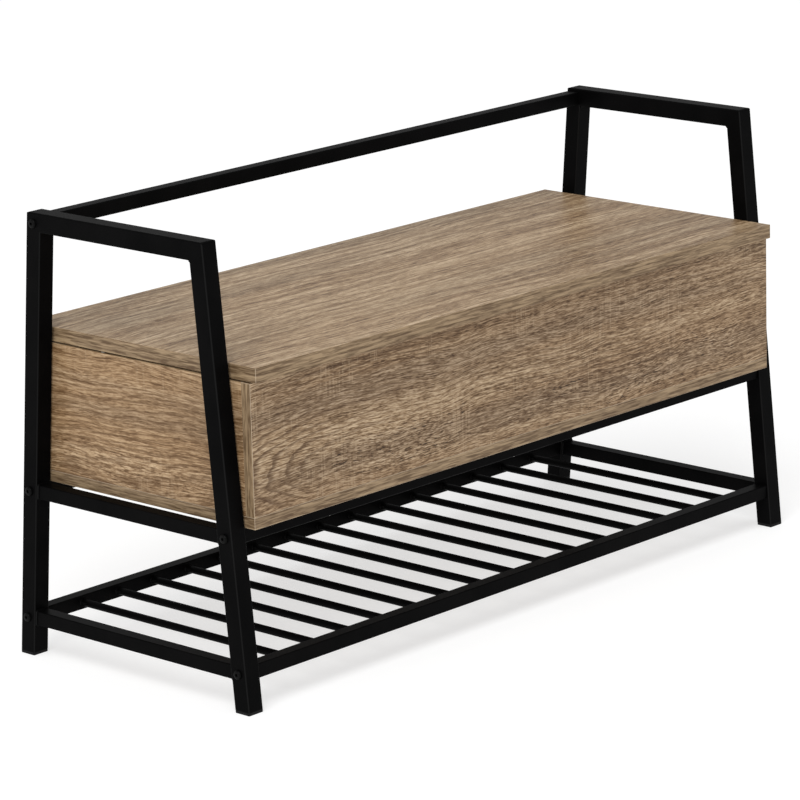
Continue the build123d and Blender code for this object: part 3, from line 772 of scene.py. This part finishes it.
# Broad streaks set the colour, and fibres lighten and darken it
streak = ramp(oak_group, oak_noise(place, (1.1, 26.0, 1.0), 5.0), 0.38, 0.62)
grey_streak = ramp(oak_group, oak_noise(place, (0.8, 17.0, 3.0), 5.0), 0.46, 0.66)
colour = blended(oak_group, streak, oak_in["Pale"], oak_in["Brown"])
colour = blended(oak_group, grey_streak, colour, oak_in["Grey"])
fibre_swing = ramp(oak_group, fibre, 0.4, 0.6, -0.6, 0.6)
fine_swing = ramp(oak_group, fine_fibre, 0.4, 0.6, -0.5, 0.5)
fibre_sum = oak("ADD", fibre_swing, fine_swing)
fibre_tone = oak("ADD", oak("MULTIPLY", fibre_sum, oak_in["Fibres"]), speckle)
streak_tone = oak("MULTIPLY", ramp(oak_group, coarse_fibre, 0.34, 0.66, -1.0, 1.0), oak_in["Streaks"])
fibre_tone = oak("ADD", oak("ADD", fibre_tone, streak_tone), 1.0)
green_power = 1.2
blue_power = 1.45
fibre_tint = add_node(
    oak_group,
    "ShaderNodeCombineColor",
    {0: fibre_tone, 1: oak("POWER", fibre_tone, green_power), 2: oak("POWER", fibre_tone, blue_power)},
).outputs[0]
colour = blended(oak_group, 1.0, colour, fibre_tint, "MULTIPLY")
colour = blended(oak_group, ring_mark, colour, oak_in["Dark"])
colour = blended(oak_group, pore_mark, colour, oak_in["Dark"])
scratch_lift = (1.25, 1.35, 1.5, 1.0)
scratched = blended(oak_group, 1.0, oak_in["Pale"], scratch_lift, "MULTIPLY")
colour = blended(oak_group, saw_mark, colour, scratched)
oak_group.links.new(colour, oak_out["Colour"])
plain_roughness = 0.42
mark_roughness = 0.2
marks = oak("ADD", pore_mark, oak("MULTIPLY", ring_mark, 0.5))
oak_group.links.new(oak("ADD", plain_roughness, oak("MULTIPLY", marks, mark_roughness)), oak_out["Roughness"])
relief = oak("SUBTRACT", oak("MULTIPLY", fibre_sum, 0.3), marks)
oak_group.links.new(oak("SUBTRACT", relief, oak("MULTIPLY", saw_mark, 0.4)), oak_out["Height"])

# Straight fine lines of the edge band, which run round every board
edge_group, edge_in, edge_out = new_group(
    "oak edge band",
    [
        ("Place", "NodeSocketVector", None),
        ("Pale", "NodeSocketColor", None),
        ("Dark", "NodeSocketColor", None),
    ],
    [("Colour", "NodeSocketColor"), ("Roughness", "NodeSocketFloat"), ("Height", "NodeSocketFloat")],
)
broad_line = noise(edge_group, stretched(edge_group, edge_in["Place"], (9.0, 9.0, 330.0)), 1.0, 3.0)
fine_line = noise(edge_group, stretched(edge_group, edge_in["Place"], (45.0, 45.0, 520.0)), 1.0, 2.0)
edge_share = calc(
    edge_group,
    "ADD",
    ramp(edge_group, broad_line, 0.42, 0.58, 0.0, 0.5),
    ramp(edge_group, fine_line, 0.42, 0.58, 0.0, 0.5),
)
edge_group.links.new(blended(edge_group, edge_share, edge_in["Dark"], edge_in["Pale"]), edge_out["Colour"])
edge_group.links.new(ramp(edge_group, broad_line, 0.3, 0.7, 0.46, 0.36), edge_out["Roughness"])
edge_group.links.new(edge_share, edge_out["Height"])

# How each kind of board lies: its grain to X, across the grain to Y, through it to Z
lying = Euler((0, 0, 0))
upright = Euler((-math.pi / 2, 0, 0))
end_on = Matrix(((0, 1, 0), (0, 0, 1), (1, 0, 0))).to_euler()

edge_pale = (0.34, 0.24, 0.14, 1.0)
edge_dark = (0.11, 0.066, 0.033, 1.0)
# Painted highlight colour for the rounded arrises of the boards
arris_highlight_colour = (0.52, 0.42, 0.31, 1.0)


def board_material(name, turn, shift, print_values, highlit_arrises):
    """Laminate on a board's faces and band on its edges, with a painted highlight on its arrises, "All" of
    them or, with "Upright", only those at its four corners."""
    face_limit = 0.8
    arris_highlight_share = 0.75
    bump_strength = 0.25
    bump_height = 0.12 * mm
    material, tree, shader = new_material(name)
    coordinates = add_node(tree, "ShaderNodeTexCoord").outputs
    board_place = add_node(
        tree,
        "ShaderNodeMapping",
        {"Vector": coordinates["Object"], "Rotation": turn, "Location": shift},
    ).outputs[0]
    board_normal = add_node(
        tree,
        "ShaderNodeMapping",
        {"Vector": coordinates["Normal"], "Rotation": turn},
        vector_type="NORMAL",
    ).outputs[0]
    normal_parts = add_node(tree, "ShaderNodeSeparateXYZ", {0: board_normal}).outputs
    through = calc(tree, "ABSOLUTE", normal_parts["Z"])
    on_face = calc(tree, "GREATER_THAN", through, face_limit)
    # Share of the painted highlight on the arrises
    mask = add_node(tree, "ShaderNodeGroup", {"Normal": board_normal}, node_tree=arris_group)
    on_highlit_arris = calc(tree, "MULTIPLY", mask.outputs[highlit_arrises], arris_highlight_share)
    face = add_node(tree, "ShaderNodeGroup", {"Place": board_place, **print_values}, node_tree=oak_group)
    band_values = {"Place": board_place, "Pale": edge_pale, "Dark": edge_dark}
    band = add_node(tree, "ShaderNodeGroup", band_values, node_tree=edge_group)
    board_colour = blended(tree, on_face, band.outputs["Colour"], face.outputs["Colour"])
    # Painted highlight on the arrises, laid over the laminate and the band
    tree.links.new(blended(tree, on_highlit_arris, board_colour, arris_highlight_colour), shader.inputs["Base Color"])
    chosen = {}
    for output in ("Roughness", "Height"):
        shares = {0: on_face, 2: band.outputs[output], 3: face.outputs[output]}
        chosen[output] = add_node(tree, "ShaderNodeMix", shares, data_type="FLOAT").outputs[0]
    tree.links.new(chosen["Roughness"], shader.inputs["Roughness"])
    add_bump(tree, shader, chosen["Height"], bump_strength, bump_height)
    shader.inputs["Specular IOR Level"].default_value = 0.2
    return material


long_panel_print = {
    "Heart Line": 0.287,
    "Heart Middle": 0.03,
    "Heart Depth": 0.003,
    "Arch": 0.2,
    "Ring Pitch": 0.0072,
    "Rings": 0.72,
    "Streaks": 0.18,
    "Fibres": 0.54,
    "Pores": 0.65,
    "Speckle": 0.9,
    "Saw Marks": 0.5,
    "Pale": (0.325, 0.22, 0.126, 1.0),
    "Brown": (0.24, 0.15, 0.079, 1.0),
    "Grey": (0.23, 0.152, 0.087, 1.0),
    "Dark": (0.075, 0.036, 0.015, 1.0),
}
side_panel_print = dict(long_panel_print)
side_panel_print.update(
    {
        "Heart Line": 0.268,
        "Heart Middle": 0.5,
        "Heart Depth": 0.012,
        "Arch": 0.12,
        "Ring Pitch": 0.0085,
        "Rings": 0.5,
        "Streaks": 0.2,
        "Fibres": 0.42,
        "Pores": 0.75,
        "Speckle": 0.6,
        "Saw Marks": 0.3,
        "Pale": (0.36, 0.238, 0.132, 1.0),
        "Brown": (0.275, 0.168, 0.084, 1.0),
        "Grey": (0.265, 0.17, 0.092, 1.0),
        "Dark": (0.1, 0.05, 0.02, 1.0),
    }
)
front_oak = board_material("sawn oak on the long panels", upright, (0, 0, 0), long_panel_print, "All")
side_oak = board_material("sawn oak on the side panels", end_on, (0.7, 0, 0), side_panel_print, "Upright")
base_oak = board_material("sawn oak on the bottom board", lying, (0.3, 0.5, 0), long_panel_print, "All")
finish_nodes(["box_front_panel", "box_back_panel"], front_oak)
finish_nodes(["box_left_side_panel", "box_right_side_panel"], side_oak)
finish_nodes(["box_bottom_board"], base_oak)


# ---------------------------------------------------------------- box fittings
# Beech dowels line the walls up, and cast zinc cam locks pull them tight on steel bolts.
# Zinc plated screws hold the walls to the bottom board and the bottom board to the rails.

beech, beech_tree, beech_shader = new_material("fluted beech")
beech_place = object_place(beech_tree)
beech_fleck = noise(beech_tree, stretched(beech_tree, beech_place, (900.0, 90.0, 900.0)), 1.0, 3.0)
beech_pale = (0.62, 0.43, 0.26, 1)
beech_dark = (0.48, 0.31, 0.17, 1)
beech_colour = blended(beech_tree, ramp(beech_tree, beech_fleck, 0.35, 0.65), beech_pale, beech_dark)
beech_tree.links.new(beech_colour, beech_shader.inputs["Base Color"])
beech_tree.links.new(ramp(beech_tree, beech_fleck, 0.3, 0.7, 0.55, 0.7), beech_shader.inputs["Roughness"])
add_bump(beech_tree, beech_shader, beech_fleck, 0.3, 0.2 * mm)
finish_nodes(["box_dowels"], beech)
finish_nodes(["cam_bolts"], plated_steel)
cast_zinc = skinned_material(
    "cast zinc",
    dark=(0.36, 0.36, 0.36),
    light=(0.5, 0.5, 0.5),
    roughness=0.48,
    pebble=0.4 * mm,
    specular=0.5,
    metallic=1.0,
    bump=0.4,
)

# A cam is a drum with a rounded rim and a groove round it, which takes the head of its bolt
cam_low, cam_high = solid_boxes("cam_locks")[0]
cam_radius = (cam_high.z - cam_low.z) / 2
cam_depth = cam_high.x - cam_low.x
groove_radius = cam_radius - 2.2 * mm
groove_start = -3.5 * mm
groove_end = -9.5 * mm
groove_slope = 0.5 * mm
cam_profile = [
    (cam_radius - 0.7 * mm, 0),
    (cam_radius - 0.2 * mm, -0.15 * mm),
    (cam_radius, -0.5 * mm),
    (cam_radius, groove_start),
    (groove_radius, groove_start - groove_slope),
    (groove_radius, groove_end + groove_slope),
    (cam_radius, groove_end),
    (cam_radius, -cam_depth),
]
cam_cross = cross(length=8.0 * mm, width=1.8 * mm)
cam = turned_piece("cam", cam_profile, cam_cross, recess_depth=2.0 * mm, steps=96)
cam_places = []
for low, high in solid_boxes("cam_locks"):
    side = math.copysign(1, low.x)
    inner_face = min(abs(low.x), abs(high.x))
    cam_places.append(((side * inner_face, (low.y + high.y) / 2, (low.z + high.z) / 2), (-side, 0, 0)))
fastened("cam_lock_set", cam, cam_places, cast_zinc, "bench_frame", 5, "cam_locks")


def seats_below(name, seat):
    """Places of the screws that go upwards, with their heads facing down at a seat height."""
    middles = [(low + high) / 2 for low, high in solid_boxes(name)]
    return [((middle.x, middle.y, seat), (0, 0, -1)) for middle in middles]


box_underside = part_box("box_bottom_board")[0].z
panel_screw_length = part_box("panel_screws")[1].z - box_underside
panel_screw_head = 4.5 * mm
panel_screw_shank = 2.5 * mm
panel_screw_tip = 1.0 * mm
cone_end = -2.0 * mm
panel_plain_end = -8.0 * mm
panel_thread_start = -9.0 * mm
panel_thread_end = 2.0 * mm - panel_screw_length
panel_screw_end = 0.3 * mm - panel_screw_length
panel_thread_depth = 0.6 * mm
panel_pitch = 1.6 * mm
panel_screw_profile = [(panel_screw_head, 0), (panel_screw_shank, cone_end)]
panel_screw_profile += [(panel_screw_shank, panel_plain_end)]
panel_screw_profile += threads(
    panel_screw_shank, panel_thread_depth, panel_thread_start, panel_thread_end, panel_pitch
)
panel_screw_profile += [(panel_screw_tip, panel_screw_end)]
panel_screw = turned_piece("panel_screw", panel_screw_profile, hexagon(key_flats), key_depth)
fastened(
    "panel_screw_set",
    panel_screw,
    seats_below("panel_screws", box_underside),
    plated_steel,
    "bench_frame",
    7,
    "panel_screws",
)


def pan_head(name, head_radius, head_height, shank_radius, length, pitch):
    """A pan head screw with a cross recess, its seat on z = 0 and its head above."""
    flat_radius = head_radius * 0.55
    rim_height = head_height * 0.35
    screw_cross = cross(head_radius, head_radius * 0.24)
    cross_depth = head_height * 0.5
    point_radius = 0.2 * mm
    profile = [(flat_radius, head_height)]
    profile += dome(flat_radius, head_radius, rim_height, head_height)
    profile += [(head_radius, 0), (shank_radius, 0), (shank_radius, -0.12 * length)]
    profile += threads(shank_radius, shank_radius * 0.28, -0.14 * length, -0.9 * length, pitch)
    profile += [(point_radius, -length)]
    return turned_piece(name, profile, screw_cross, cross_depth, steps=96)


rail_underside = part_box("seat_front_rail")[0].z
rail_screw_low, rail_screw_high = solid_boxes("rail_screws")[0]
rail_screw = pan_head(
    "rail_screw",
    head_radius=(rail_screw_high.x - rail_screw_low.x) / 2,
    head_height=rail_underside - rail_screw_low.z,
    shank_radius=2.0 * mm,
    length=rail_screw_high.z - rail_underside,
    pitch=1.4 * mm,
)
fastened(
    "rail_screw_set",
    rail_screw,
    seats_below("rail_screws", rail_underside),
    plated_steel,
    "bench_frame",
    9,
    "rail_screws",
)


# ---------------------------------------------------------------- lid bumpers
# Four clear soft pads are glued to the top edges of the walls, so that the lid closes without
# a knock and rests a little above the box.

soft_pad = skinned_material(
    "soft clear pad",
    dark=(0.30, 0.29, 0.26),
    light=(0.42, 0.41, 0.38),
    roughness=0.3,
    pebble=2.0 * mm,
    specular=0.5,
    bump=0.05,
)
pad_low, pad_high = solid_boxes("lid_bumpers")[0]
pad_radius = (pad_high.x - pad_low.x) / 2
pad_height = pad_high.z - pad_low.z
pad_flat = pad_radius * 0.5
pad_profile = [(pad_flat, pad_height)] + dome(pad_flat, pad_radius, 0, pad_height)
pad = turned_piece("pad", pad_profile)
pad_places = []
for low, high in solid_boxes("lid_bumpers"):
    pad_places.append((((low.x + high.x) / 2, (low.y + high.y) / 2, low.z), (0, 0, 1)))
fastened("lid_bumper_set", pad, pad_places, soft_pad, "bench_frame", 11, "lid_bumpers")


# ---------------------------------------------------------------- lid
# The lid is one 19 mm particle board in the same oak laminate, and it is also the seat. Its
# grain runs straight along the bench, and its four edges carry the straight-grained band.

lid_print = dict(long_panel_print)
lid_print.update(
    {
        "Heart Line": 0.05,
        "Heart Depth": 0.09,
        "Arch": 0.01,
        "Ring Pitch": 0.013,
        "Rings": 0.4,
        "Streaks": 0.3,
        "Fibres": 0.4,
        "Pores": 0.55,
        "Speckle": 0.0,
        "Saw Marks": 0.1,
        "Pale": (0.4, 0.278, 0.164, 1.0),
        "Brown": (0.325, 0.214, 0.118, 1.0),
        "Grey": (0.315, 0.217, 0.126, 1.0),
        "Dark": (0.12, 0.066, 0.03, 1.0),
    }
)
lid_oak = board_material("sawn oak on the lid", lying, (0, 0, 0), lid_print, "Upright")
finish_nodes(["lid_board"], lid_oak)


# ---------------------------------------------------------------- lid hinges
# Two friction hinges of pressed steel hold the lid at any angle. Their leaves and pins are
# nickel plated over a brushed surface, and short zinc plated pan head screws fix them.

nickel, nickel_tree, nickel_shader = new_material("brushed nickel plate")
nickel_place = object_place(nickel_tree)
brushing = noise(nickel_tree, stretched(nickel_tree, nickel_place, (40.0, 2500.0, 2500.0)), 1.0, 3.0)
nickel_cloud = noise(nickel_tree, nickel_place, 60.0, 3.0)
nickel_dark = (0.52, 0.5, 0.46, 1)
nickel_light = (0.62, 0.6, 0.56, 1)
nickel_colour = blended(nickel_tree, ramp(nickel_tree, nickel_cloud, 0.35, 0.65), nickel_dark, nickel_light)
nickel_tree.links.new(nickel_colour, nickel_shader.inputs["Base Color"])
nickel_tree.links.new(ramp(nickel_tree, brushing, 0.3, 0.7, 0.24, 0.42), nickel_shader.inputs["Roughness"])
add_bump(nickel_tree, nickel_shader, brushing, 0.2, 0.08 * mm)
nickel_shader.inputs["Metallic"].default_value = 1.0
for side_name, side in sides:
    finish_nodes([f"{side_name}_hinge_{piece}" for piece in ("box_leaf", "lid_leaf", "pin")], nickel)

leaf_thickness = 1.2 * mm
box_leaf_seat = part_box("box_back_panel")[1].y + leaf_thickness
lid_leaf_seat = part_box("lid_board")[0].z - leaf_thickness


def hinge_screw(name):
    """A screw of the one size that fixes both leaves."""
    low, high = solid_boxes("hinge_box_screws")[0]
    return pan_head(
        name,
        head_radius=(high.x - low.x) / 2,
        head_height=high.y - box_leaf_seat,
        shank_radius=1.75 * mm,
        length=box_leaf_seat - low.y,
        pitch=1.3 * mm,
    )


hinge_box_places = []
for low, high in solid_boxes("hinge_box_screws"):
    hinge_box_places.append((((low.x + high.x) / 2, box_leaf_seat, (low.z + high.z) / 2), (0, 1, 0)))
fastened(
    "hinge_box_screw_set",
    hinge_screw("hinge_box_screw"),
    hinge_box_places,
    plated_steel,
    "bench_frame",
    13,
    "hinge_box_screws",
)
fastened(
    "hinge_lid_screw_set",
    hinge_screw("hinge_lid_screw"),
    seats_below("hinge_lid_screws", lid_leaf_seat),
    plated_steel,
    "lid",
    15,
    "hinge_lid_screws",
)


# ---------------------------------------------------------------- studio
# A matt white floor that gives off some light of its own, a large softbox above the front left,
# an even white surround, and a long lens at the front left that looks down on the bench.

floor_half = 30.0
floor_corners = [(-floor_half, -floor_half, 0), (floor_half, -floor_half, 0)]
floor_corners += [(floor_half, floor_half, 0), (-floor_half, floor_half, 0)]
floor_mesh = bpy.data.meshes.new("studio_floor")
floor_mesh.from_pydata(floor_corners, [], [(0, 1, 2, 3)])
floor = bpy.data.objects.new("studio_floor", floor_mesh)
bpy.context.scene.collection.objects.link(floor)
floor_paint, _, floor_shader = new_material("matt white floor")
floor_shader.inputs["Base Color"].default_value = (0.5, 0.5, 0.5, 1)
floor_shader.inputs["Roughness"].default_value = 0.9
floor_shader.inputs["Specular IOR Level"].default_value = 0.0
floor_shader.inputs["Emission Color"].default_value = (1, 1, 1, 1)
floor_shader.inputs["Emission Strength"].default_value = 0.6
floor_mesh.materials.append(floor_paint)

world = bpy.data.worlds.new("studio surround")
world.use_nodes = True
surround = world.node_tree.nodes["Background"]
surround.inputs["Color"].default_value = (1, 1, 1, 1)
surround.inputs["Strength"].default_value = 0.62
bpy.context.scene.world = world

key_direction = Vector((-0.6, -0.33, 0.73)).normalized()
key_distance = 13.0
bench_middle = Vector((0, 0, 0.3))
key_light = bpy.data.lights.new("key softbox", "AREA")
key_light.shape = "SQUARE"
key_light.size = 8.7
key_light.energy = 1050.0
key_softbox = bpy.data.objects.new("key softbox", key_light)
key_softbox.location = key_direction * key_distance + bench_middle
key_softbox.rotation_euler = key_direction.to_track_quat("Z", "Y").to_euler()
bpy.context.scene.collection.objects.link(key_softbox)

camera = bpy.data.cameras.new("long lens")
camera.sensor_width = 36.0
camera.lens = 188.35
camera.clip_end = 200.0
viewer = bpy.data.objects.new("long lens", camera)
viewer.location = (-3.9665, -3.6944, 1.6663)
viewer.rotation_euler = [math.radians(angle) for angle in (75.446, 1.518, -47.249)]
bpy.context.scene.collection.objects.link(viewer)
bpy.context.scene.camera = viewer
bpy.context.scene.view_settings.view_transform = "Standard"
